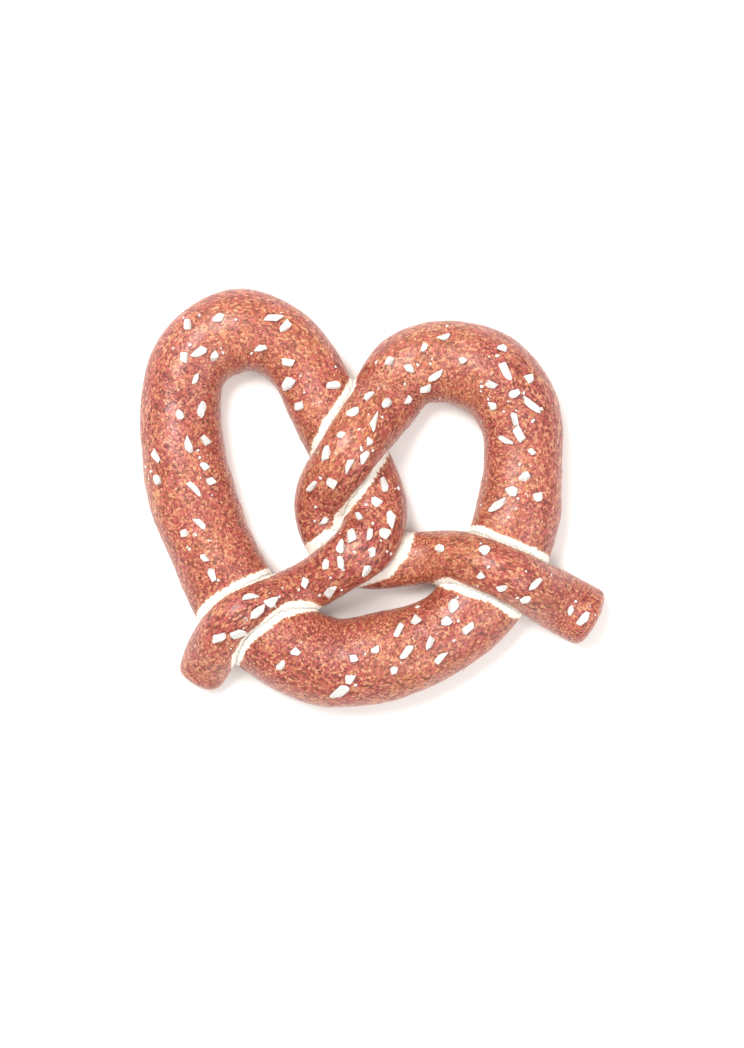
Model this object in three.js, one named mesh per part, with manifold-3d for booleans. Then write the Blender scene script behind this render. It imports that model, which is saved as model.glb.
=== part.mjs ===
// A soft pretzel: one rope of dough, thick in its belly and thin at its two ends, looped left and right,
// twisted twice and laid back over itself, then baked on a flat sheet with coarse salt on its upper side.
// Millimetres, +Z up. The pretzel lies on z = 0 with its belly towards -Y, and the origin is under its
// middle.
import * as THREE from "three";
import { mergeVertices } from "three/addons/utils/BufferGeometryUtils.js";
import Module from "manifold-3d";

// The rope seen from above, from its left tip to its right tip. Each stretch is an arc: its centre x, y,
// its radius, the angles in degrees where it starts and ends, how many knots it gives the rope, and the
// width at both ends.
const stretches = {
  "left tip": { x: -60.6, y: -63.1, radius: 0, angles: [0, 0], knots: 1, widths: [14.4, 14.4] },
  "left arm": { x: -27.8, y: -61, radius: 28.5, angles: [158, 108], knots: 3, widths: [17.4, 14.8] },
  "left arm, top": { x: -24, y: -30.3, radius: 0, angles: [0, 0], knots: 1, widths: [17, 17] },
  "left twist": { x: -17.1, y: -5.2, radius: 17.7, angles: [-64, 29], knots: 4, widths: [18.4, 23.8] },
  "under the twist": { x: -12.5, y: 24, radius: 0, angles: [0, 0], knots: 1, widths: [25, 25] },
  "left loop, up": { x: -45.6, y: 31.6, radius: 25.7, angles: [30, 88], knots: 3, widths: [23.6, 28] },
  "left loop, down": { x: -43.3, y: 35.5, radius: 22, angles: [122, 184], knots: 3, widths: [27.5, 27] },
  "left side": { x: 74.8, y: 37.7, radius: 141, angles: [193, 202], knots: 2, widths: [29.3, 28.8] },
  "left belly": { x: 3.9, y: 7.2, radius: 65.2, angles: [224, 254], knots: 3, widths: [29.6, 30.4] },
  "belly": { x: 4.2, y: -53.2, radius: 0, angles: [0, 0], knots: 1, widths: [29.9, 29.9] },
  "right belly": { x: -9.2, y: 4, radius: 59.3, angles: [305, 348], knots: 3, widths: [27.6, 29] },
  "right loop, up": { x: 19.4, y: 18.5, radius: 31.8, angles: [-4, 49], knots: 3, widths: [26.8, 29.8] },
  "right loop, down": { x: 25.3, y: 20.7, radius: 26.6, angles: [88, 121], knots: 2, widths: [27.6, 26.6] },
  "over the left loop": { x: 3.3, y: 32, radius: 0, angles: [0, 0], knots: 1, widths: [23.7, 23.7] },
  "above the twist": { x: -7.8, y: 16.5, radius: 0, angles: [0, 0], knots: 1, widths: [20.4, 20.4] },
  "right twist": { x: 0.9, y: -2.5, radius: 18.5, angles: [167, 259], knots: 4, widths: [18.8, 18.4] },
  "right arm": { x: 23, y: -64.2, radius: 44.8, angles: [98, 64], knots: 3, widths: [18.4, 18.3] },
  "right tip": { x: 75.9, y: -41.2, radius: 0, angles: [0, 0], knots: 1, widths: [21.3, 21.3] },
};

// How the rope rose and sagged in the oven
const heightShare = 0.78; // the rope's height over its width
const widestShare = 0.42; // the level of its widest place, over its height
const squareness = 0.8; // of its lower half: 1 is round, less is squarer
const flattened = 1.2; // how far the sheet flattened its underside
const tipLength = 4.5; // the blunt rounding at both tips
const tipBluntness = 3;

// How it lies over itself. The rope crosses itself four times, counted from the left tip: the left arm over
// the left side, the two crossings of the twist, and the right arm over the right side.
const earlierPassOnTop = [true, true, false, false];
const climbShare = 0.7; // how far the upper rope rides up, over the lower rope's height
const pressShare = 0.08; // how far it presses the lower rope down
const runOff = 14; // how far past the lower rope's edge it comes down again

// Gentle lumps that hand rolling leaves: share of the width, length along the rope, turns round it
const lumps = [
  { share: 0.022, length: 69, turns: 1 },
  { share: 0.014, length: 33, turns: -2 },
];

// Facets
const sides = 20;
const step = 4.4;
const tipRings = [0.12, 0.45, 1]; // in tip lengths

// Salt: how many grains lie on each reach of the rope, given by its distances from the left tip, and the
// way they mostly lean there, in degrees from +X
const saltReaches = [
  { from: 12, to: 30, grains: 2, lean: 40 },
  { from: 32, to: 60, grains: 5, lean: 45 },
  { from: 60, to: 110, grains: 12, lean: 100 },
  { from: 132, to: 175, grains: 7, lean: 15 },
  { from: 175, to: 212, grains: 8, lean: 60 },
  { from: 212, to: 245, grains: 7, lean: 130 },
  { from: 245, to: 275, grains: 4, lean: 125 },
  { from: 300, to: 332, grains: 5, lean: 35 },
  { from: 332, to: 384, grains: 10, lean: 42 },
  { from: 406, to: 426, grains: 4, lean: 30 },
  { from: 426, to: 456, grains: 10, lean: 127 },
  { from: 456, to: 512, grains: 13, lean: 50 },
  { from: 512, to: 560, grains: 8, lean: 65 },
  { from: 590, to: 646, grains: 8, lean: 35 },
];
const saltSeed = 1931;
const saltBand = 0.32; // the salted band's half width, over the rope's width
const saltGap = 4.8; // least distance between two grains
const seamGap = 5.5; // least distance from a grain's middle to the edge of a rope that lies over its own
const leanSpread = 28;
const grain = { length: [2.5, 6.1], width: [2, 3.4], height: [1.4, 2.3], sunk: 0.3, ragged: 0.16 };

// The rope's plan route
const deg = Math.PI / 180;
const knots = Object.values(stretches).flatMap((stretch) =>
  Array.from({ length: stretch.knots }, (_, i) => {
    const share = stretch.knots > 1 ? i / (stretch.knots - 1) : 0;
    const angle = THREE.MathUtils.lerp(...stretch.angles, share) * deg;
    return new THREE.Vector3(
      stretch.x + stretch.radius * Math.cos(angle),
      stretch.y + stretch.radius * Math.sin(angle),
      THREE.MathUtils.lerp(...stretch.widths, share), // the width runs along the curve as its third number
    );
  }),
);
const route = new THREE.CatmullRomCurve3(knots).getPoints(1200);
const travelled = [0];
for (let i = 1; i < route.length; i++) {
  travelled.push(travelled[i - 1] + Math.hypot(route[i].x - route[i - 1].x, route[i].y - route[i - 1].y));
}
const ropeLength = travelled.at(-1);

// The place and width of the rope at a distance from its left tip
function placeAt(distance) {
  const wanted = THREE.MathUtils.clamp(distance, 0, ropeLength);
  let low = 0;
  let high = route.length - 1;
  while (high - low > 1) {
    const middle = (low + high) >> 1;
    if (travelled[middle] <= wanted) low = middle;
    else high = middle;
  }
  const share = (wanted - travelled[low]) / (travelled[high] - travelled[low]);
  const { x, y, z } = route[low].clone().lerp(route[high], share);
  return { x, y, width: z };
}

// Where the route crosses itself, as distances of the lower and the upper pass
function findCrossings() {
  const found = [];
  const every = 3;
  const points = route.filter((_, i) => i % every === 0);
  for (let i = 0; i + 1 < points.length; i++) {
    for (let j = i + 2; j + 1 < points.length; j++) {
      const a = points[i + 1].clone().sub(points[i]);
      const b = points[j + 1].clone().sub(points[j]);
      const c = points[j].clone().sub(points[i]);
      const spread = a.x * b.y - a.y * b.x;
      const alongA = (c.x * b.y - c.y * b.x) / spread;
      const alongB = (c.x * a.y - c.y * a.x) / spread;
      if (alongA < 0 || alongA >= 1 || alongB < 0 || alongB >= 1) continue;
      const distances = [
        THREE.MathUtils.lerp(travelled[i * every], travelled[(i + 1) * every], alongA),
        THREE.MathUtils.lerp(travelled[j * every], travelled[(j + 1) * every], alongB),
      ];
      const [upper, lower] = earlierPassOnTop[found.length] ? distances : distances.reverse();
      found.push({ upper, lower });
    }
  }
  return found;
}
const crossings = findCrossings();

// 1 in the middle, falling smoothly to 0 at a distance of 1
const hump = (distance) => (Math.abs(distance) < 1 ? (1 + Math.cos(Math.PI * distance)) / 2 : 0);

// How high the rope's underside rides, and how tall it is, at a distance from the left tip
function liftAt(distance) {
  let lift = 0;
  for (const { upper, lower } of crossings) {
    const { width } = placeAt(lower);
    lift += climbShare * heightShare * width * hump((distance - upper) / (width / 2 + runOff));
  }
  return lift;
}
function heightAt(distance) {
  let height = heightShare * placeAt(distance).width;
  for (const { upper, lower } of crossings) {
    height *= 1 - pressShare * hump((distance - lower) / placeAt(upper).width);
  }
  return height;
}

// 1 along the rope, closing to 0 at its blunt tips
function closingAt(distance) {
  const inward = Math.min(distance, ropeLength - distance) / tipLength;
  if (inward >= 1) return 1;
  return (1 - (1 - Math.max(inward, 0)) ** tipBluntness) ** (1 / tipBluntness);
}

// A point of the rope's skin: turn is the angle round the rope, from its right side up over its back
const signedPower = (value, power) => Math.sign(value) * Math.abs(value) ** power;
function skinPoint(distance, turn) {
  const { x, y, width } = placeAt(distance);
  const height = heightAt(distance);
  const level = widestShare * height;
  const nearby = 0.5;
  const middleAt = (d) => new THREE.Vector3(placeAt(d).x, placeAt(d).y, liftAt(d));
  const along = middleAt(distance + nearby).sub(middleAt(distance - nearby)).normalize();
  const right = new THREE.Vector3(along.y, -along.x, 0).normalize();
  const up = right.clone().cross(along);
  const lumpy = lumps.reduce(
    (sum, lump) => sum + lump.share * Math.sin((2 * Math.PI * distance) / lump.length + lump.turns * turn),
    1,
  );
  const girth = closingAt(distance) * lumpy;
  const lowerHalf = Math.sin(turn) < 0;
  const [cosine, sine] = [Math.cos(turn), Math.sin(turn)];
  const sideways = (width / 2) * (lowerHalf ? signedPower(cosine, squareness) : cosine);
  const upwards = lowerHalf ? level * signedPower(sine, squareness) : (height - level) * sine;
  const point = new THREE.Vector3(x, y, liftAt(distance) + level - flattened);
  point.addScaledVector(right, sideways * girth).addScaledVector(up, upwards * girth);
  point.z = Math.max(point.z, 0);
  return point;
}

// A length of rope: a cylinder whose rings are laid along the route
function ropeGeometry(stations) {
  const bent = new THREE.CylinderGeometry(1, 1, 1, sides, stations.length - 1);
  bent.deleteAttribute("normal");
  bent.deleteAttribute("uv");
  const geometry = mergeVertices(bent);
  const corners = geometry.getAttribute("position");
  for (let i = 0; i < corners.count; i++) {
    const [across, along, up] = [corners.getX(i), corners.getY(i), corners.getZ(i)];
    const station = stations[Math.round((along + 0.5) * (stations.length - 1))];
    const onAxis = Math.hypot(across, up) < 0.5;
    const turn = Math.atan2(up, across);
    const point = onAxis
      ? skinPoint(station, Math.PI / 2).lerp(skinPoint(station, -Math.PI / 2), 0.5)
      : skinPoint(station, turn);
    corners.setXYZ(i, point.x, point.y, point.z);
  }
  return geometry;
}

function stationsBetween(from, to) {
  const count = Math.round((to - from) / step);
  return Array.from({ length: count + 1 }, (_, i) => THREE.MathUtils.lerp(from, to, i / count));
}

// The rope is cut at the tops of its two loops, so that no length of it crosses itself
const wasm = await Module();
wasm.setup();
function solidOf(geometry) {
  return new wasm.Manifold(
    new wasm.Mesh({
      numProp: 3,
      vertProperties: new Float32Array(geometry.getAttribute("position").array),
      triVerts: new Uint32Array(geometry.getIndex().array),
    }),
  );
}

// The highest place in plan between two distances
function topOfLoop(from, to) {
  return stationsBetween(from, to).reduce((best, d) => (placeAt(d).y > placeAt(best).y ? d : best));
}
const [overLeftSide, , upperTwist, overRightSide] = crossings;
const leftTop = topOfLoop(upperTwist.lower, overLeftSide.lower);
const rightTop = topOfLoop(overRightSide.lower, upperTwist.upper);
const tipStations = tipRings.map((share) => share * tipLength);
const lengthsOfRope = [
  [...tipStations, ...stationsBetween(tipLength, leftTop).slice(1)],
  stationsBetween(leftTop, rightTop),
  [
    ...stationsBetween(rightTop, ropeLength - tipLength).slice(0, -1),
    ...tipStations.map((inward) => ropeLength - inward).reverse(),
  ],
];
const ropeSolids = lengthsOfRope.map((stations) => solidOf(ropeGeometry(stations)));
const dough = ropeSolids.reduce((all, next) => all.add(next));

// Salt
let randomState = saltSeed;
function random(low, high) {
  randomState = (randomState * 48271) % 2147483647;
  return low + ((high - low) * randomState) / 2147483647;
}

// Whether a grain at x, y on the rope at a distance would be clear of every rope that lies over it
function clearOfUpperRopes(x, y, distance) {
  const far = 40;
  for (let other = 0; other <= ropeLength; other += 2) {
    if (Math.abs(other - distance) < far) continue;
    const place = placeAt(other);
    const higher = liftAt(other) + heightAt(other) > liftAt(distance) + heightAt(distance);
    if (higher && Math.hypot(place.x - x, place.y - y) < place.width / 2 + seamGap) return false;
  }
  return true;
}

function scatterGrains() {
  const grains = [];
  for (const reach of saltReaches) {
    let left = reach.grains;
    for (let tries = 0; left > 0 && tries < 400; tries++) {
      const distance = random(reach.from, reach.to);
      const offset = random(-saltBand, saltBand);
      const { x, y, width } = placeAt(distance);
      const ahead = placeAt(distance + 1);
      const run = Math.hypot(ahead.x - x, ahead.y - y);
      const grainX = x + (offset * width * (ahead.y - y)) / run;
      const grainY = y - (offset * width * (ahead.x - x)) / run;
      if (!clearOfUpperRopes(grainX, grainY, distance)) continue;
      if (grains.some((other) => Math.hypot(other.x - grainX, other.y - grainY) < saltGap)) continue;
      grains.push({
        x: grainX,
        y: grainY,
        length: random(...grain.length),
        width: random(...grain.width),
        height: random(...grain.height),
        heading: (reach.lean + random(-leanSpread, leanSpread)) * deg,
        seed: Math.floor(random(1, 1e6)),
      });
      left -= 1;
    }
  }
  return grains;
}

// An irregular crystal: an icosahedron with its corners pushed in and out, stretched to the grain's size
function grainGeometry(size) {
  const crystal = new THREE.IcosahedronGeometry(1, 0);
  crystal.deleteAttribute("normal");
  crystal.deleteAttribute("uv");
  const geometry = mergeVertices(crystal);
  const corners = geometry.getAttribute("position");
  randomState = size.seed;
  for (let i = 0; i < corners.count; i++) {
    const push = 1 + random(-grain.ragged, grain.ragged);
    corners.setXYZ(i, corners.getX(i) * push, corners.getY(i) * push, corners.getZ(i) * push);
  }
  geometry.scale(size.length / 2, size.width / 2, size.height / 2);
  geometry.rotateZ(size.heading);
  return geometry;
}

function meshOf(solid) {
  const { vertProperties, triVerts } = solid.getMesh();
  const geometry = new THREE.BufferGeometry();
  geometry.setAttribute("position", new THREE.BufferAttribute(vertProperties, 3));
  geometry.setIndex(new THREE.BufferAttribute(triVerts, 1));
  return geometry;
}

// Each grain is tilted with the crust and sunk into it by a share of its height
const crust = new THREE.Mesh(meshOf(dough), new THREE.MeshBasicMaterial());
const fromAbove = new THREE.Raycaster();
const down = new THREE.Vector3(0, 0, -1);
const above = 100;
const vertical = new THREE.Vector3(0, 0, 1);
let pretzel = dough;
for (const size of scatterGrains()) {
  fromAbove.set(new THREE.Vector3(size.x, size.y, above), down);
  const [hit] = fromAbove.intersectObject(crust);
  const geometry = grainGeometry(size);
  geometry.applyQuaternion(new THREE.Quaternion().setFromUnitVectors(vertical, hit.face.normal));
  const rise = size.height * (0.5 - grain.sunk);
  geometry.translate(...hit.point.addScaledVector(hit.face.normal, rise).toArray());
  pretzel = pretzel.add(solidOf(geometry));
}

const bakedCrust = new THREE.MeshStandardMaterial({ color: 0xb5653f, roughness: 0.42, metalness: 0 });
const pretzelGeometry = meshOf(pretzel);
pretzelGeometry.computeBoundingBox();
const middle = pretzelGeometry.boundingBox.getCenter(new THREE.Vector3());
pretzelGeometry.translate(-middle.x, -middle.y, 0);
const pretzelMesh = new THREE.Mesh(pretzelGeometry, bakedCrust);
pretzelMesh.name = "pretzel";

const softPretzel = new THREE.Group();
softPretzel.add(pretzelMesh);
export default softPretzel;
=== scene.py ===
import math

import bmesh
import bpy
import numpy as np
from mathutils import Matrix, Vector, kdtree, noise
from mathutils.bvhtree import BVHTree


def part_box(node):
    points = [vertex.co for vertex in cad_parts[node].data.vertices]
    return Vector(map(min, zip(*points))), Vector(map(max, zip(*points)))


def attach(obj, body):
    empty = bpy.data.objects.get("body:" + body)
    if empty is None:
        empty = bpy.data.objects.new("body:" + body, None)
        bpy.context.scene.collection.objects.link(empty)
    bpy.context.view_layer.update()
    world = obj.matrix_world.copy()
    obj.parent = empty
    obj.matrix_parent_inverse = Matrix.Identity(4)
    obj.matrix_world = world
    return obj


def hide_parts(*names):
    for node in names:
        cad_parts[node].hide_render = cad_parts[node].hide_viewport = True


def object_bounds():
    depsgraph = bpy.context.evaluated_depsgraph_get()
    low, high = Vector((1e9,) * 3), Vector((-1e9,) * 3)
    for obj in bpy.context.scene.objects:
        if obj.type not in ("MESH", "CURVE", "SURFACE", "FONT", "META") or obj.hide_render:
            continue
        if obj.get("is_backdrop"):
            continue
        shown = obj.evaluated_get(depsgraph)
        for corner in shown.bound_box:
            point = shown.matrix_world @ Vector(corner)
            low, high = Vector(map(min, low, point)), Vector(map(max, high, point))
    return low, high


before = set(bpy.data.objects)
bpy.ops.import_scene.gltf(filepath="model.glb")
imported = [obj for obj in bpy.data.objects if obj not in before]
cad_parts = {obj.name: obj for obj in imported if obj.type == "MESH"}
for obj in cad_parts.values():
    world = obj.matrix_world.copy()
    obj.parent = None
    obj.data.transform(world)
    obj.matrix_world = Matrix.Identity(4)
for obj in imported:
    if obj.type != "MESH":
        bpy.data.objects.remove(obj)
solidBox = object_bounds()
mm = 0.001
print("frame loaded")

# The rope of dough, in mm and degrees, from its left tip to its right tip
rope = {
    # centre x, y, radius, from and to angle, knots, width from and to
    "stretches": {
        "left tip": (-60.6, -63.1, 0, 0, 0, 1, 14.4, 14.4),
        "left arm": (-27.8, -61, 28.5, 158, 108, 3, 17.4, 14.8),
        "left arm, top": (-24, -30.3, 0, 0, 0, 1, 17, 17),
        "left twist": (-17.1, -5.2, 17.7, -64, 29, 4, 18.4, 23.8),
        "under the twist": (-12.5, 24, 0, 0, 0, 1, 25, 25),
        "left loop, up": (-45.6, 31.6, 25.7, 30, 88, 3, 23.6, 28),
        "left loop, down": (-43.3, 35.5, 22, 122, 184, 3, 27.5, 27),
        "left side": (74.8, 37.7, 141, 193, 202, 2, 29.3, 28.8),
        "left belly": (3.9, 7.2, 65.2, 224, 254, 3, 29.6, 30.4),
        "belly": (4.2, -53.2, 0, 0, 0, 1, 29.9, 29.9),
        "right belly": (-9.2, 4, 59.3, 305, 348, 3, 27.6, 29),
        "right loop, up": (19.4, 18.5, 31.8, -4, 49, 3, 26.8, 29.8),
        "right loop, down": (25.3, 20.7, 26.6, 88, 121, 2, 27.6, 26.6),
        "over the left loop": (3.3, 32, 0, 0, 0, 1, 23.7, 23.7),
        "above the twist": (-7.8, 16.5, 0, 0, 0, 1, 20.4, 20.4),
        "right twist": (0.9, -2.5, 18.5, 167, 259, 4, 18.8, 18.4),
        "right arm": (23, -64.2, 44.8, 98, 64, 3, 18.4, 18.3),
        "right tip": (75.9, -41.2, 0, 0, 0, 1, 21.3, 21.3),
    },
    "heightShare": 0.78,  # height over width
    "widestShare": 0.42,  # level of the widest place, over the height
    "squareness": 0.8,  # of the lower half
    "flattened": 1.2,  # by the baking sheet
    "tipLength": 4.5,
    "tipBluntness": 3,
    "earlierPassOnTop": (True, True, False, False),
    "climbShare": 0.7,  # how far the upper rope rides up, over the lower rope's height
    "pressShare": 0.08,
    "runOff": 14,
    "lumps": ((0.022, 69, 1), (0.014, 33, -2)),  # share of the width, length along, turns round
}


def ropeKnots():
    knots = []
    for x, y, radius, fromAngle, toAngle, count, fromWidth, toWidth in rope["stretches"].values():
        for i in range(count):
            share = i / (count - 1) if count > 1 else 0
            angle = math.radians(fromAngle + (toAngle - fromAngle) * share)
            width = fromWidth + (toWidth - fromWidth) * share
            knots.append((x + radius * math.cos(angle), y + radius * math.sin(angle), width))
    return np.array(knots, float)


def smoothRoute(knots, count=1200):  # a centripetal spline through the knots
    last = len(knots) - 1
    padded = np.vstack([2 * knots[0] - knots[1], knots, 2 * knots[-1] - knots[-2]])
    places = last * np.arange(count + 1) / count
    first = np.minimum(places.astype(int), last - 1)
    share = (places - first)[:, None]
    p0, p1, p2, p3 = (padded[first + i] for i in range(4))
    d0, d1, d2 = (np.sqrt(np.linalg.norm(b - a, axis=1))[:, None] for a, b in ((p0, p1), (p1, p2), (p2, p3)))
    leave = ((p1 - p0) / d0 - (p2 - p0) / (d0 + d1) + (p2 - p1) / d1) * d1
    arrive = ((p2 - p1) / d1 - (p3 - p1) / (d1 + d2) + (p3 - p2) / d2) * d1
    return (p1 + leave * share + (-3 * p1 + 3 * p2 - 2 * leave - arrive) * share**2
            + (2 * p1 - 2 * p2 + leave + arrive) * share**3)


route = smoothRoute(ropeKnots())
travelled = np.concatenate([[0], np.cumsum(np.hypot(*np.diff(route[:, :2], axis=0).T))])
ropeLength = travelled[-1]


def placeAt(distance):  # x, y and width at distances from the left tip
    return [np.interp(distance, travelled, route[:, i]) for i in range(3)]


def findCrossings():  # (upper pass, lower pass), as distances
    every = 3
    points, away = route[::every, :2], travelled[::every]
    found = []
    steps = np.diff(points, axis=0)
    for i, a in enumerate(steps[:-2]):
        b = steps[i + 2:]
        c = points[i + 2:-1] - points[i]
        spread = a[0] * b[:, 1] - a[1] * b[:, 0]
        alongA = (c[:, 0] * b[:, 1] - c[:, 1] * b[:, 0]) / spread
        alongB = (c[:, 0] * a[1] - c[:, 1] * a[0]) / spread
        for k in np.flatnonzero((alongA >= 0) & (alongA < 1) & (alongB >= 0) & (alongB < 1)):
            j = i + 2 + k
            earlier = away[i] + (away[i + 1] - away[i]) * alongA[k]
            later = away[j] + (away[j + 1] - away[j]) * alongB[k]
            found.append((earlier, later) if rope["earlierPassOnTop"][len(found)] else (later, earlier))
    return found


crossings = findCrossings()


def hump(distance):  # 1 in the middle, falling smoothly to 0 at a distance of 1
    return (1 + np.cos(np.pi * np.clip(np.abs(distance), 0, 1))) / 2


def liftAt(distance):
    lift = 0
    for upper, lower in crossings:
        width = placeAt(lower)[2]
        lift = lift + rope["climbShare"] * rope["heightShare"] * width * hump(
            (distance - upper) / (width / 2 + rope["runOff"]))
    return lift


def heightAt(distance):
    height = rope["heightShare"] * placeAt(distance)[2]
    for upper, lower in crossings:
        height = height * (1 - rope["pressShare"] * hump((distance - lower) / placeAt(upper)[2]))
    return height


def closingAt(distance):
    inward = np.clip(np.minimum(distance, ropeLength - distance) / rope["tipLength"], 0, 1)
    return (1 - (1 - inward) ** rope["tipBluntness"]) ** (1 / rope["tipBluntness"])


def ropeAxes(distance):  # the middle of the widest level there, and the right and up directions
    x, y, width = placeAt(distance)
    nearby = 0.5
    x0, y0, _ = placeAt(distance - nearby)
    x1, y1, _ = placeAt(distance + nearby)
    along = np.stack([x1 - x0, y1 - y0, liftAt(distance + nearby) - liftAt(distance - nearby)], -1)
    along /= np.linalg.norm(along, axis=-1, keepdims=True)
    right = np.stack([along[..., 1], -along[..., 0], 0 * x], -1)
    right /= np.linalg.norm(right, axis=-1, keepdims=True)
    level = rope["widestShare"] * heightAt(distance)
    middle = np.stack([x, y, liftAt(distance) + level - rope["flattened"]], -1)
    return middle, right, np.cross(right, along)


def skinPoints(distance, turn):  # one ring of points for each distance
    middle, right, up = ropeAxes(distance)
    width = placeAt(distance)[2][:, None]
    height = heightAt(distance)[:, None]
    level = rope["widestShare"] * height
    cosine, sine = np.cos(turn)[None], np.sin(turn)[None]
    lumpy = 1 + sum(share * np.sin(2 * math.pi * distance[:, None] / length + turns * turn[None])
                    for share, length, turns in rope["lumps"])
    girth = closingAt(distance)[:, None] * lumpy
    squarer = lambda value: np.sign(value) * np.abs(value) ** rope["squareness"]
    sideways = width / 2 * np.where(sine < 0, squarer(cosine), cosine) * girth
    upwards = np.where(sine < 0, level * squarer(sine), (height - level) * sine) * girth
    points = middle[:, None] + right[:, None] * sideways[..., None] + up[:, None] * upwards[..., None]
    points[..., 2] = np.maximum(points[..., 2], 0)
    return points


def topOfLoop(start, end):
    distances = np.linspace(start, end, 60)
    return distances[np.argmax(placeAt(distances)[1])]


leftTop = topOfLoop(crossings[2][1], crossings[0][1])
rightTop = topOfLoop(crossings[3][1], crossings[2][0])
print("rope laid out:", round(ropeLength), "mm long,", len(crossings), "crossings")


def hexColour(text):  # sRGB hex to linear
    parts = [int(text[i:i + 2], 16) / 255 for i in (1, 3, 5)]
    return tuple(c / 12.92 if c <= 0.04045 else ((c + 0.055) / 1.055) ** 2.4 for c in parts) + (1,)


def addNode(tree, kind, inputs=None, stops=(), **settings):  # a node with its settings, values and links
    node = tree.nodes.new("ShaderNode" + kind)
    for name, value in settings.items():
        setattr(node, name, value)
    for name, value in (inputs or {}).items():
        socket = node.inputs[name] if isinstance(name, int) else next(
            s for s in node.inputs if s.enabled and s.name == name)
        if isinstance(value, bpy.types.Node):
            value = next(output for output in value.outputs if output.enabled)
        if isinstance(value, bpy.types.NodeSocket):
            tree.links.new(value, socket)
        else:
            socket.default_value = hexColour(value) if isinstance(value, str) else value
    for i, (place, colour) in enumerate(stops):  # of a colour ramp
        element = node.color_ramp.elements[i] if i < 2 else node.color_ramp.elements.new(place)
        element.position, element.color = place, hexColour(colour)
    return node


def newMaterial(name):
    material = bpy.data.materials.new(name)
    material.use_nodes = True
    material.node_tree.nodes.clear()
    return material, material.node_tree


def ramp(low, high, value):  # 0 below low, 1 above high, smooth between
    t = np.clip((value - low) / (high - low), 0, 1)
    return t * t * (3 - 2 * t)


# The dough as it came out of the oven, in mm
dough = {
    "ringStep": 1.2,
    "sides": 88,
    "tipRings": (0.004, 0.03, 0.1, 0.22, 0.4, 0.62, 0.85),  # over the tip's length
    "overlap": 3,  # of the three lengths that are joined at the tops of the loops
    "voxel": 0.78,
    "smoothing": (0.5, 3),  # share and rounds, over the whole skin
    "seamSmoothing": (0.5, 4),  # and once more beside the seams
    "seamReach": (5, 1),  # distances from the other length where that begins and is full
    "otherLength": 45,  # the rope beside a point is another length of it from this far along
    "unevenness": ((26, 0.5), (9, 0.3), (3.2, 0.12)),  # size across and depth
    "creaseDepth": 0.5,
    "creaseWidth": 1.8,
    "underSteps": (-7, 1),  # rise to the other length's top, where this one starts to be under it and is
    "paleWidths": (2.7, 3.8, 2.9, 2.8),  # of the unbrowned band on the lower rope, at each crossing
    "paleWidthOver": 1.4,  # of the band under the upper rope's own edge
    "paleFade": (1.2, 0.8),  # inside and outside the band's edge
    "paleWander": (6, 0.7),  # size along and depth
    "blisters": 320,
    "blisterRadius": (0.8, 2.2),
    "blisterHeight": 0.32,
    "blisterLevel": 5,  # the lowest
    "seed": 12,
    # levels and slopes where the golden lower side, and the side on the sheet, begin and are full
    "lowerSide": ((12, 2), (0.5, -0.2)),
    "sheetSide": ((3, 0.3), (0, -0.7)),
    # browned more or less: along from and to, place and reach across over the rope's width, how much
    "ovenPatches": {
        "left arm, lower edge": (62, 92, 0.4, 0.5, 0.5),
        "twist, right edge": (78, 112, 0.45, 0.5, 0.9),
        "left loop, upper right": (132, 166, 0.35, 0.6, 0.5),
        "left loop, outer left": (196, 232, 0.5, 0.5, -0.5),
        "left side, inner edge": (202, 278, -0.45, 0.45, 1.0),
        "belly, left end": (288, 316, 0, 0.8, 0.4),
        "belly, lower edge": (326, 376, 0.5, 0.5, -0.5),
        "right side": (392, 428, 0.1, 0.8, -0.4),
        "right loop, inner edge": (432, 474, -0.4, 0.5, -0.9),
        "right loop, outer edge": (436, 474, 0.5, 0.4, 0.4),
        "right arm, left end": (572, 608, 0, 0.8, -0.6),
        "right tip, lower side": (624, 656, 0.4, 0.7, -0.7),
    },
}


def ropeStations():
    tip = rope["tipLength"] * np.array(dough["tipRings"])
    spans = [(rope["tipLength"], leftTop + dough["overlap"]), (leftTop, rightTop + dough["overlap"]),
             (rightTop, ropeLength - rope["tipLength"])]
    stations = []
    for start, end in spans:
        stations.append(np.linspace(start, end, round((end - start) / dough["ringStep"]) + 1))
    stations[0] = np.concatenate([tip, stations[0]])
    stations[2] = np.concatenate([stations[2], ropeLength - tip[::-1]])
    return stations


def tubeFaces(rings, sides, first=0):  # quads between the rings and one face on each end
    corner = lambda ring, side: first + ring * sides + side % sides
    quads = [(corner(r, k), corner(r, k + 1), corner(r + 1, k + 1), corner(r + 1, k))
             for r in range(rings - 1) for k in range(sides)]
    return quads + [tuple(corner(0, k) for k in reversed(range(sides))),
                    tuple(corner(rings - 1, k) for k in range(sides))]


def meshData(thing, name, size=1):
    values = np.empty(len(thing) * size, np.int32 if name == "vertices" else np.float32)
    thing.foreach_get(name, values)
    return values.reshape(-1, size) if size > 1 else values


def relax(points, edges, share, rounds):  # moves each point towards the middle of its neighbours
    ends = np.concatenate([edges, edges[:, ::-1]])
    count = np.bincount(ends[:, 0], minlength=len(points))[:, None]
    for _ in range(rounds):
        sums = [np.bincount(ends[:, 0], points[ends[:, 1], axis], len(points)) for axis in range(3)]
        points = points + share * (np.stack(sums, 1) / count - points)
    return points


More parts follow.
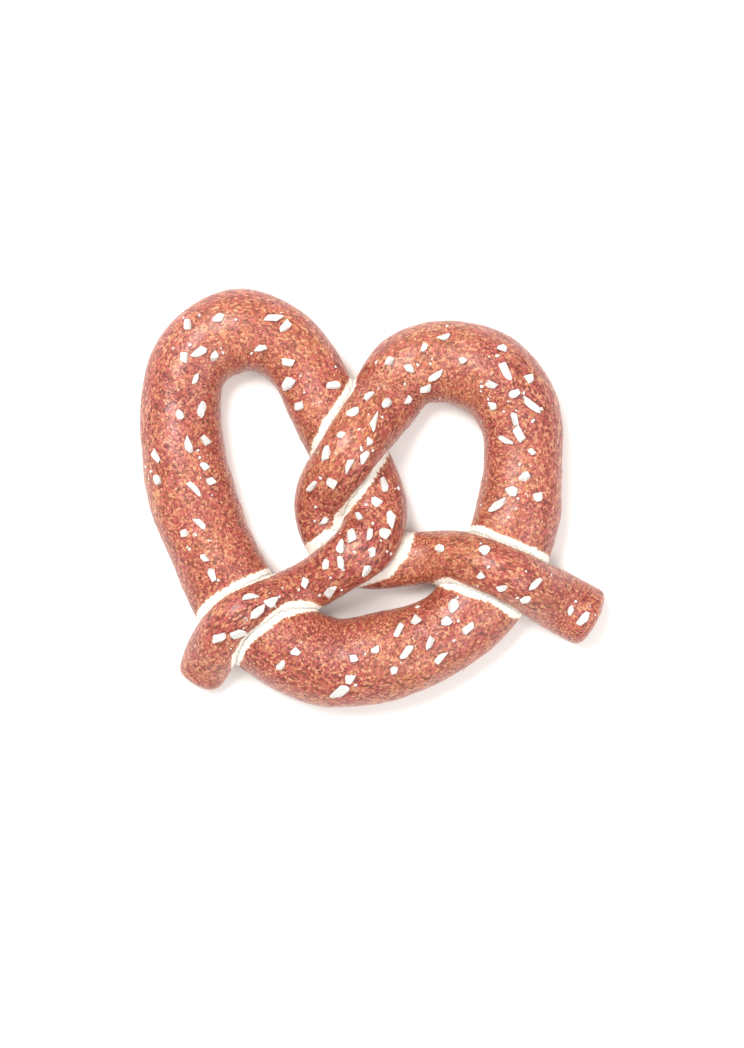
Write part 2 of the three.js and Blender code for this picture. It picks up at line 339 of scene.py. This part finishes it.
def bakeDough():  # one skin round all the lengths of rope, where they lie over each other too
    stations = ropeStations()
    turns = np.arange(dough["sides"]) * 2 * math.pi / dough["sides"]
    corners, faces, trees, count = [], [], [], 0
    for distances in stations:
        points = skinPoints(distances, turns).reshape(-1, 3)
        corners.append(points)
        faces += tubeFaces(len(distances), dough["sides"], count)
        trees.append(BVHTree.FromPolygons(points.tolist(), tubeFaces(len(distances), dough["sides"])))
        count += len(points)
    tubes = bpy.data.meshes.new("ropeLengths")
    tubes.from_pydata((np.concatenate(corners) * mm).tolist(), [], faces)
    carrier = bpy.data.objects.new("ropeLengths", tubes)
    bpy.context.collection.objects.link(carrier)
    skin = carrier.modifiers.new("oneSkin", "REMESH")
    skin.mode = "VOXEL"
    skin.voxel_size = dough["voxel"] * mm
    mesh = bpy.data.meshes.new_from_object(carrier.evaluated_get(bpy.context.evaluated_depsgraph_get()))
    bpy.data.objects.remove(carrier)
    return mesh, stations, trees


def readRope(points, stations, trees):  # where each point lies on the rope, and how near another length is
    sides = dough["sides"]
    farOff = 99.0
    along, gap, other = np.empty(len(points)), np.full(len(points), farOff), np.zeros(len(points))
    for i, point in enumerate(points.tolist()):
        hits = []
        for distances, tree in zip(stations, trees):
            _, _, face, away = tree.find_nearest(point)
            atStart = face == (len(distances) - 1) * sides
            hits.append((away, distances[0 if atStart else min(face // sides, len(distances) - 1)]))
        hits.sort()
        along[i] = hits[0][1]
        for away, distance in hits[1:]:
            if abs(distance - along[i]) > dough["otherLength"]:
                gap[i], other[i] = away, distance
                break
    rounds, share = 10, 0.7
    for _ in range(rounds):  # from the nearest ring to the exact place between rings
        middle, right, up = ropeAxes(along)
        along = along + share * ((points - middle) * np.cross(up, right)).sum(1)
    across, above = ((points - middle) * right).sum(1), ((points - middle) * up).sum(1)
    return along, across, above, gap, other


def paleWidthAt(along, other):  # that of the nearest crossing
    away = []
    for upper, lower in crossings:
        seenFromUpper = np.abs(along - upper) + np.abs(other - lower)
        seenFromLower = np.abs(along - lower) + np.abs(other - upper)
        away.append(np.minimum(seenFromUpper, seenFromLower))
    return np.array(dough["paleWidths"])[np.argmin(away, axis=0)]


doughMesh, ropeRings, ropeTrees = bakeDough()
edges = meshData(doughMesh.edges, "vertices", 2)
points = relax(meshData(doughMesh.vertices, "co", 3).astype(float) / mm, edges, *dough["smoothing"])
along, across, above, gap, other = readRope(points, ropeRings, ropeTrees)
topOwn, topOther = (liftAt(d) + heightAt(d) for d in (along, other))
under = ramp(*dough["underSteps"], topOther - topOwn)
wanderSize, wanderDepth = dough["paleWander"]
wander = np.array([noise.noise(Vector(p) / wanderSize) for p in points])
reach = dough["paleWidthOver"] + (paleWidthAt(along, other) - dough["paleWidthOver"]) * under
pale = 1 - ramp(reach - dough["paleFade"][0], reach + dough["paleFade"][1], gap + wanderDepth * wander)
seamShare, seamRounds = dough["seamSmoothing"]
points = relax(points, edges, seamShare * ramp(*dough["seamReach"], gap)[:, None], seamRounds)
print("dough baked:", len(points), "points")


def vertexNormals(points):
    doughMesh.vertices.foreach_set("co", (points * mm).astype(np.float32).ravel())
    doughMesh.update()
    return meshData(doughMesh.vertex_normals, "vector", 3).astype(float)


def uneven(points):
    normals = vertexNormals(points)
    rolled = np.stack([along, across, above], 1)  # the rope rolled out straight
    push = np.zeros(len(points))
    for size, depth in dough["unevenness"]:
        push += depth * np.array([noise.noise(Vector(p) / size) for p in rolled])
    push -= dough["creaseDepth"] * (1 - ramp(0, dough["creaseWidth"], gap))
    random = np.random.default_rng(dough["seed"])
    tree = kdtree.KDTree(len(points))
    for i, p in enumerate(points):
        tree.insert(p, i)
    tree.balance()
    # blisters rise on the browned skin, not in the seams or underneath
    browned = np.flatnonzero((points[:, 2] > dough["blisterLevel"]) & (pale < 0.1) & (normals[:, 2] > -0.2))
    for start in random.choice(browned, dough["blisters"], replace=False):
        radius = random.uniform(*dough["blisterRadius"])
        height = dough["blisterHeight"] * random.uniform(0.4, 1) * radius / dough["blisterRadius"][1]
        for _, i, away in tree.find_range(points[start], radius):
            push[i] += height * (1 - (away / radius) ** 2) ** 2
    points = points + normals * push[:, None]
    points[:, 2] = np.maximum(points[:, 2], 0)
    return points


def browningAt(along, across):
    share = across / placeAt(along)[2]
    browning = np.zeros(len(along))
    for start, end, middle, reach, amount in dough["ovenPatches"].values():
        lengthwise = hump((along - (start + end) / 2) / (end - start))
        browning += amount * lengthwise * hump((share - middle) / reach)
    return browning


def facingDown(levels, slopes):
    return ramp(*levels, points[:, 2]) * ramp(*slopes, normals[:, 2])


points = uneven(points)
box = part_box("pretzel")
shift = (np.array(box[0][:2]) + box[1][:2]) / 2 / mm - (points[:, :2].min(0) + points[:, :2].max(0)) / 2
points[:, :2] += shift
normals = vertexNormals(points)
pretzel = bpy.data.objects.new("pretzelCrust", doughMesh)
bpy.context.collection.objects.link(pretzel)
doughMesh.name = "pretzelCrust"
doughMesh.shade_smooth()
for name, values in {
    "rolledOut": np.stack([along, across, above], 1),
    "paleSeam": pale,
    "browning": browningAt(along, across),
    "lowerSide": facingDown(*dough["lowerSide"]),
    "sheetSide": facingDown(*dough["sheetSide"]),
}.items():
    kind, field = ("FLOAT_VECTOR", "vector") if values.ndim > 1 else ("FLOAT", "value")
    doughMesh.attributes.new(name, kind, "POINT").data.foreach_set(field, values.astype(np.float32).ravel())
print("crust shaped, shifted by", shift.round(2))

# Wheat dough dipped in lye and baked: the dip browns the skin in mottled patches and raises glossy blisters
# smaller than a millimetre, each its own shade. Where the rope lay over itself it tore pale and matte. The
# side that lay on the sheet is plainer and duller.
crust = {
    "char": "#431D13",
    "brick": "#7F3427",
    "terracotta": "#9B453A",
    "rose": "#BA5A5A",
    "golden": "#B67547",
    "straw": "#D29D76",
    "paleDough": "#F1E9DC",
    "paleEdge": "#B98560",
    "sideGolden": "#BF8250",
    "sheetBrown": "#A26542",
    # sizes in mm
    "patchSize": 24,
    "mottleSize": 4.5,
    "blisterSize": 0.72,  # the finest real ones are half that, too fine to show
    "grainSize": 0.4,  # of the skin itself, drawn coarser than it is
    "wrinkleSize": (1.5, 8),  # along the rope and round it
    "tearSize": 1.1,
    # shares of the colour
    "ovenBrowning": 0.14,
    "mottling": 0.5,
    "stipple": 0.66,
    "grainContrast": 0.38,
    "lowerGolden": 0.6,
    "sheetPlainness": 0.8,
    "raggedness": 1.6,
    # relief in mm
    "wrinkleDepth": 0.16,
    "blisterRise": 0.1,
    "grainDepth": 0.08,
    "tearDepth": 0.25,
    "roughness": 0.26,  # of its glossiest spots
    "mottledRoughness": 0.2,  # more in the mottling
    "dullRoughness": 0.3,  # more in the seams and on the sheet's side
    "sheen": (0.2, 0.25),  # weight and roughness of the glossy skin that the dip leaves
}


def lyeBakedCrust():
    material, tree = newMaterial("lyeBakedCrust")
    rolledOut = addNode(tree, "Attribute", attribute_name="rolledOut").outputs["Vector"]
    paleSeam, browning, lowerSide, sheetSide = (
        addNode(tree, "Attribute", attribute_name=name).outputs["Fac"]
        for name in ("paleSeam", "browning", "lowerSide", "sheetSide"))

    # browning in large patches, broken up by mottling
    patches = addNode(tree, "TexNoise", {"Vector": rolledOut, "Scale": 1 / crust["patchSize"], "Detail": 2})
    tone = addNode(tree, "Math", {
        0: browning, 1: crust["ovenBrowning"], 2: patches}, operation="MULTIPLY_ADD")
    colour = addNode(tree, "ValToRGB", {"Fac": tone}, stops=(
        (0.36, crust["golden"]), (0.5, crust["terracotta"]), (0.64, crust["brick"])))
    mottle = addNode(tree, "TexNoise", {
        "Vector": rolledOut, "Scale": 1 / crust["mottleSize"], "Detail": 5, "Roughness": 0.65})
    mottling = addNode(tree, "ValToRGB", {"Fac": mottle}, stops=(
        (0.36, crust["brick"]), (0.5, crust["terracotta"]), (0.62, crust["golden"])))
    colour = addNode(tree, "Mix", {
        "Factor": crust["mottling"], "A": colour, "B": mottling}, data_type="RGBA")

    # each small blister has its own shade
    stray = addNode(tree, "TexNoise", {"Vector": rolledOut, "Scale": 1 / crust["blisterSize"], "Detail": 1})
    strayed = addNode(tree, "VectorMath", {
        0: stray.outputs["Color"], 1: (crust["blisterSize"],) * 3, 2: rolledOut}, operation="MULTIPLY_ADD")
    blisters = addNode(tree, "TexVoronoi", {
        "Vector": strayed, "Scale": 1 / crust["blisterSize"], "Smoothness": 0.35}, feature="SMOOTH_F1")
    shade = addNode(tree, "SeparateColor", {"Color": blisters.outputs["Color"]})
    shades = addNode(tree, "ValToRGB", {"Fac": shade}, stops=(
        (0.05, crust["char"]), (0.2, crust["brick"]), (0.42, crust["terracotta"]), (0.58, crust["rose"]),
        (0.75, crust["golden"]), (0.92, crust["straw"])))
    colour = addNode(tree, "Mix", {
        "Factor": crust["stipple"], "A": colour, "B": shades}, data_type="RGBA")
    grain = addNode(tree, "TexNoise", {"Vector": rolledOut, "Scale": 1 / crust["grainSize"], "Detail": 2})
    brightness = addNode(tree, "MapRange", {
        "Value": grain, "From Min": 0.3, "From Max": 0.7,
        "To Min": 1 - crust["grainContrast"], "To Max": 1 + crust["grainContrast"]})
    colour = addNode(tree, "VectorMath", {0: colour, "Scale": brightness}, operation="SCALE")
    lighter = addNode(tree, "Math", {0: lowerSide, 1: crust["lowerGolden"]}, operation="MULTIPLY")
    colour = addNode(tree, "Mix", {
        "Factor": lighter, "A": colour, "B": crust["sideGolden"]}, data_type="RGBA")
    plainer = addNode(tree, "Math", {0: sheetSide, 1: crust["sheetPlainness"]}, operation="MULTIPLY")
    colour = addNode(tree, "Mix", {
        "Factor": plainer, "A": colour, "B": crust["sheetBrown"]}, data_type="RGBA")

    # the pale dough in the seams, with a ragged golden edge
    tear = addNode(tree, "TexNoise", {"Vector": rolledOut, "Scale": 1 / crust["tearSize"], "Detail": 4})
    ragged = addNode(tree, "Math", {0: tear, 1: crust["raggedness"], 2: paleSeam}, operation="MULTIPLY_ADD")
    edgeShare = addNode(tree, "MapRange", {"Value": ragged, "From Min": 0.95, "From Max": 1.3})
    paleShare = addNode(tree, "MapRange", {"Value": ragged, "From Min": 1.3, "From Max": 1.5})
    colour = addNode(tree, "Mix", {
        "Factor": edgeShare, "A": colour, "B": crust["paleEdge"]}, data_type="RGBA")
    colour = addNode(tree, "Mix", {
        "Factor": paleShare, "A": colour, "B": crust["paleDough"]}, data_type="RGBA")

    # relief, in mm
    lengthwise, roundIt = crust["wrinkleSize"]
    stretched = addNode(tree, "Mapping", {
        "Vector": rolledOut, "Scale": (1 / lengthwise, 1 / roundIt, 1 / roundIt)})
    wrinkles = addNode(tree, "TexNoise", {"Vector": stretched, "Scale": 1, "Detail": 2, "Distortion": 0.4})
    domes = addNode(tree, "MapRange", {
        "Value": blisters, "From Min": 0.7, "From Max": 0, "To Max": crust["blisterRise"]},
        interpolation_type="SMOOTHSTEP")
    height = addNode(tree, "Math", {
        0: wrinkles, 1: crust["wrinkleDepth"], 2: domes}, operation="MULTIPLY_ADD")
    height = addNode(tree, "Math", {0: grain, 1: crust["grainDepth"], 2: height}, operation="MULTIPLY_ADD")
    torn = addNode(tree, "Math", {0: tear, 1: paleSeam}, operation="MULTIPLY")
    height = addNode(tree, "Math", {0: torn, 1: crust["tearDepth"], 2: height}, operation="MULTIPLY_ADD")
    bump = addNode(tree, "Bump", {"Height": height, "Distance": mm, "Strength": 1})

    duller = addNode(tree, "Math", {0: paleShare, 1: sheetSide}, operation="MAXIMUM")
    mottled = addNode(tree, "Math", {
        0: mottle, 1: crust["mottledRoughness"], 2: crust["roughness"]}, operation="MULTIPLY_ADD")
    roughness = addNode(tree, "Math", {
        0: duller, 1: crust["dullRoughness"], 2: mottled}, operation="MULTIPLY_ADD")
    shader = addNode(tree, "BsdfPrincipled", {
        "Base Color": colour, "Roughness": roughness, "Normal": bump, "IOR": 1.45,
        "Coat Weight": crust["sheen"][0], "Coat Roughness": crust["sheen"][1]})
    addNode(tree, "OutputMaterial", {"Surface": shader})
    return material


doughMesh.materials.append(lyeBakedCrust())
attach(pretzel, "root")
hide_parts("pretzel")
print("crust finished")

# Coarse salt on the rope's back, in mm
salt = {
    "reaches": (  # distances from the left tip, grains, lean in degrees from +X
        (12, 30, 2, 40), (32, 60, 5, 45), (60, 110, 12, 100), (132, 175, 7, 15), (175, 212, 8, 60),
        (212, 245, 7, 130), (245, 275, 4, 125), (300, 332, 5, 35), (332, 384, 10, 42), (406, 426, 4, 30),
        (426, 456, 10, 127), (456, 512, 13, 50), (512, 560, 8, 65), (590, 646, 8, 35),
    ),
    "seed": 1931,
    "band": 0.32,  # its half width, over the rope's width
    "gap": 4.8,
    "seamGap": 5.5,
    "otherLength": 40,
    "tries": 400,
    "leanSpread": 28,
    "length": (2.5, 6.1),
    "width": (2, 3.4),
    "height": (1.4, 2.3),
    "sunk": 0.3,
    "skew": 0.32,  # of a block's six sides
    "breaks": 7,  # corners broken off
    "blockDepths": (0.72, 0.97),  # this and the next four are over a block's half width
    "breakDepths": (0.75, 1),
    "longestPoint": 1.7,
    "rough": 0.07,
    "wornTo": 0.04,  # how round its edges are
    "bumps": 2.5,  # of the roughness, to a half width
    "fineness": 4,  # how often a grain's ball is split
    "crumbFineness": 2,
    "crumbs": 120,
    "crumbSize": (0.45, 1.1),
    "crumbSlenderness": (1, 1.6),
    "crumbHeight": 0.8,  # over its size
    "crumbSunk": 0.2,
    "crumbsAway": (2.5, 6.5),  # from the grain that they came off
}
drawState = salt["seed"]
drawFactor, drawRange = 48271, 2147483647


def draw(low, high):  # the next seeded number
    global drawState
    drawState = drawState * drawFactor % drawRange
    return low + (high - low) * drawState / drawRange


passing = np.arange(0, ropeLength, 2)
passingX, passingY, passingWidth = placeAt(passing)
passingTop = liftAt(passing) + heightAt(passing)


def clearOfUpperRopes(x, y, distance):
    higher = passingTop > liftAt(distance) + heightAt(distance)
    near = np.hypot(passingX - x, passingY - y) < passingWidth / 2 + salt["seamGap"]
    return not (higher & near & (np.abs(passing - distance) >= salt["otherLength"])).any()


def scatterGrains():
    grains = []
    for start, end, left, lean in salt["reaches"]:
        for _ in range(salt["tries"]):
            if left == 0:
                break
            distance, offset = draw(start, end), draw(-salt["band"], salt["band"])
            x, y, width = placeAt(distance)
            aheadX, aheadY, _ = placeAt(distance + 1)
            run = math.hypot(aheadX - x, aheadY - y)
            x, y = x + offset * width * (aheadY - y) / run, y - offset * width * (aheadX - x) / run
            if not clearOfUpperRopes(x, y, distance):
                continue
            if any(math.hypot(laid["x"] - x, laid["y"] - y) < salt["gap"] for laid in grains):
                continue
            grain = {"x": x, "y": y}
            for name in ("length", "width", "height"):
                grain[name] = draw(*salt[name])
            grain["heading"] = math.radians(lean + draw(-salt["leanSpread"], salt["leanSpread"]))
            grains.append(grain)
            draw(0, 1)  # keeps step with the solid's grains, which draw one number more
            left -= 1
    return grains


crustFaces = [tuple(face.vertices) for face in doughMesh.polygons]
crustTree = BVHTree.FromPolygons((points * mm).tolist(), crustFaces)


def unitBall(subdivisions):
    ball = bmesh.new()
    bmesh.ops.create_icosphere(ball, subdivisions=subdivisions, radius=1)
    corners = np.array([v.co for v in ball.verts])
    faces = np.array([[v.index for v in face.verts] for face in ball.faces])
    ball.free()
    return corners / np.linalg.norm(corners, axis=1, keepdims=True), faces


def crystal(ball, random):  # a ball pressed into a skewed block with broken corners
    blockSides = np.concatenate([np.eye(3), -np.eye(3)]) + random.normal(0, salt["skew"], (6, 3))
    cuts = np.concatenate([blockSides, random.normal(size=(salt["breaks"], 3))])
    cuts /= np.linalg.norm(cuts, axis=1, keepdims=True)
    depths = np.concatenate([random.uniform(*salt["blockDepths"], 6),
                             random.uniform(*salt["breakDepths"], salt["breaks"])])
    facing = np.maximum(ball @ cuts.T, 0.05)  # a cut that a point turns away from is far off
    reach = np.minimum(depths / facing, salt["longestPoint"])
    nearest = -salt["wornTo"] * np.log(np.exp(-reach / salt["wornTo"]).sum(1))
    start = random.uniform(0, 100, 3)
    nearest += salt["rough"] * np.array([noise.noise(Vector(p)) for p in ball * salt["bumps"] + start])
    return ball * nearest[:, None]


def layGrains(name, grains, ball, faces, random, sunk):
    corners, triangles = [], []
    wellAbove, down, upright = 100, Vector((0, 0, -1)), Vector((0, 0, 1))
    for grain in grains:
        hit, normal, _, _ = crustTree.ray_cast(Vector((grain["x"], grain["y"], wellAbove)) * mm, down)
        if hit is None:
            continue
        shape = crystal(ball, random) * [grain["length"] / 2, grain["width"] / 2, grain["height"] / 2]
        turn = np.array(Matrix.Rotation(grain["heading"], 3, "Z"))
        tilt = np.array(upright.rotation_difference(normal).to_matrix())
        middle = np.array(hit) / mm + np.array(normal) * grain["height"] * (0.5 - sunk)
        triangles.append(faces + len(ball) * len(corners))
        corners.append(shape @ turn.T @ tilt.T + middle)
    mesh = bpy.data.meshes.new(name)
    mesh.from_pydata((np.concatenate(corners) * mm).tolist(), [], np.concatenate(triangles).tolist())
    piece = bpy.data.objects.new(name, mesh)
    bpy.context.collection.objects.link(piece)
    return piece


grains = scatterGrains()
for grain in grains:
    grain["x"] += shift[0]
    grain["y"] += shift[1]
saltRandom = np.random.default_rng(salt["seed"])
saltBall, saltFaces = unitBall(salt["fineness"])
saltGrains = layGrains("saltGrains", grains, saltBall, saltFaces, saltRandom, salt["sunk"])
crumbs = []
for _ in range(salt["crumbs"]):  # broken bits lie near the grains that they came off
    near = grains[saltRandom.integers(len(grains))]
    angle, away = saltRandom.uniform(0, 2 * math.pi), saltRandom.uniform(*salt["crumbsAway"])
    size = saltRandom.uniform(*salt["crumbSize"])
    crumbs.append({"x": near["x"] + away * math.cos(angle), "y": near["y"] + away * math.sin(angle),
                   "length": size * saltRandom.uniform(*salt["crumbSlenderness"]), "width": size,
                   "height": size * salt["crumbHeight"], "heading": saltRandom.uniform(0, math.pi)})
crumbBall, crumbFaces = unitBall(salt["crumbFineness"])
saltCrumbs = layGrains("saltCrumbs", crumbs, crumbBall, crumbFaces, saltRandom, salt["crumbSunk"])
print("salt laid:", len(grains), "grains")

# Pressed rock salt: white, cloudy broken crystals that let a little light through
saltLook = {
    "white": "#DBD9D4",
    "shade": "#C0BCB5",
    "cloudSize": 0.5,  # this and the next are in mm
    "pitDepth": 0.1,
    "roughness": 0.35,
    "translucency": 0.5,
    "scatter": 0.7,  # how far light goes in it, in mm
}


def pressedRockSalt():
    material, tree = newMaterial("pressedRockSalt")
    place = addNode(tree, "TexCoord").outputs["Object"]
    clouds = addNode(tree, "TexNoise", {
        "Vector": place, "Scale": 1 / (saltLook["cloudSize"] * mm), "Detail": 3})
    colour = addNode(tree, "ValToRGB", {"Fac": clouds}, stops=(
        (0.3, saltLook["shade"]), (0.6, saltLook["white"])))
    bump = addNode(tree, "Bump", {"Height": clouds, "Distance": saltLook["pitDepth"] * mm, "Strength": 0.8})
    shader = addNode(tree, "BsdfPrincipled", {
        "Base Color": colour, "Roughness": saltLook["roughness"], "IOR": 1.54, "Normal": bump,
        "Subsurface Weight": saltLook["translucency"], "Subsurface Radius": (1, 1, 1),
        "Subsurface Scale": saltLook["scatter"] * mm})
    addNode(tree, "OutputMaterial", {"Surface": shader})
    return material


saltMaterial = pressedRockSalt()
for piece in (saltGrains, saltCrumbs):
    piece.data.materials.append(saltMaterial)
    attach(piece, "root")
    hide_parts("pretzel")

# Seamless studio paper: matte, warm white, with a faint tooth
paper = {
    "white": "#F8F7F4",
    "toothSize": 0.6,  # mm, drawn coarser than it is
    "toothDepth": 0.02,  # mm
    "roughness": 0.9,
    "size": 4,  # m
}


def seamlessStudioPaper():
    material, tree = newMaterial("seamlessStudioPaper")
    place = addNode(tree, "TexCoord").outputs["Object"]
    tooth = addNode(tree, "TexNoise", {"Vector": place, "Scale": 1 / (paper["toothSize"] * mm), "Detail": 2})
    bump = addNode(tree, "Bump", {"Height": tooth, "Distance": paper["toothDepth"] * mm, "Strength": 0.5})
    shader = addNode(tree, "BsdfPrincipled", {
        "Base Color": paper["white"], "Roughness": paper["roughness"], "Normal": bump})
    addNode(tree, "OutputMaterial", {"Surface": shader})
    return material


half = paper["size"] / 2
floorMesh = bpy.data.meshes.new("paperFloor")
floorCorners = [(-half, -half, 0), (half, -half, 0), (half, half, 0), (-half, half, 0)]
floorMesh.from_pydata(floorCorners, [], [(0, 1, 2, 3)])
floor = bpy.data.objects.new("paperFloor", floorMesh)
bpy.context.collection.objects.link(floor)
floorMesh.materials.append(seamlessStudioPaper())
floor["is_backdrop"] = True

# Soft studio light: a large window-like key from the upper left, a fill and an even sky
studio = {
    "lights": {
        "keyLight": ((-0.4, 0.42, 0.95), 0.5, 13),  # place, size in m, watts
        "fillLight": ((0.6, -0.4, 0.9), 0.8, 7),
    },
    "skyColour": "#F3F5F8",
    "skyStrength": 0.75,
}
for name, (place, size, power) in studio["lights"].items():
    lamp = bpy.data.lights.new(name, "AREA")
    lamp.size = size
    lamp.energy = power
    light = bpy.data.objects.new(name, lamp)
    light.location = place
    light.rotation_mode = "QUATERNION"
    light.rotation_quaternion = (-Vector(place)).to_track_quat("-Z", "Y")
    light.visible_camera = False
    bpy.context.collection.objects.link(light)
sky = bpy.data.worlds.new("studioSky")
sky.use_nodes = True
sky.node_tree.nodes["Background"].inputs[0].default_value = hexColour(studio["skyColour"])
sky.node_tree.nodes["Background"].inputs[1].default_value = studio["skyStrength"]
bpy.context.scene.world = sky
bpy.context.scene.view_settings.view_transform = "Standard"

# The camera looks straight down
picture = {
    "height": 1048,  # in pixels
    "mmPerPixel": 160 / 467,
    "middle": (-0.2, -8.9),  # over which the camera hangs
    "lens": 100,
    "sensor": 36,
}
camera = bpy.data.cameras.new("overheadCamera")
camera.lens = picture["lens"]
camera.sensor_width = picture["sensor"]
cameraObject = bpy.data.objects.new("overheadCamera", camera)
cameraHeight = picture["height"] * picture["mmPerPixel"] * mm * picture["lens"] / picture["sensor"]
cameraObject.location = (picture["middle"][0] * mm, picture["middle"][1] * mm, cameraHeight)
bpy.context.collection.objects.link(cameraObject)
bpy.context.scene.camera = cameraObject
print("stage set")

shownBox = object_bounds()
{"solid": [list(corner) for corner in solidBox], "shown": [list(corner) for corner in shownBox]}
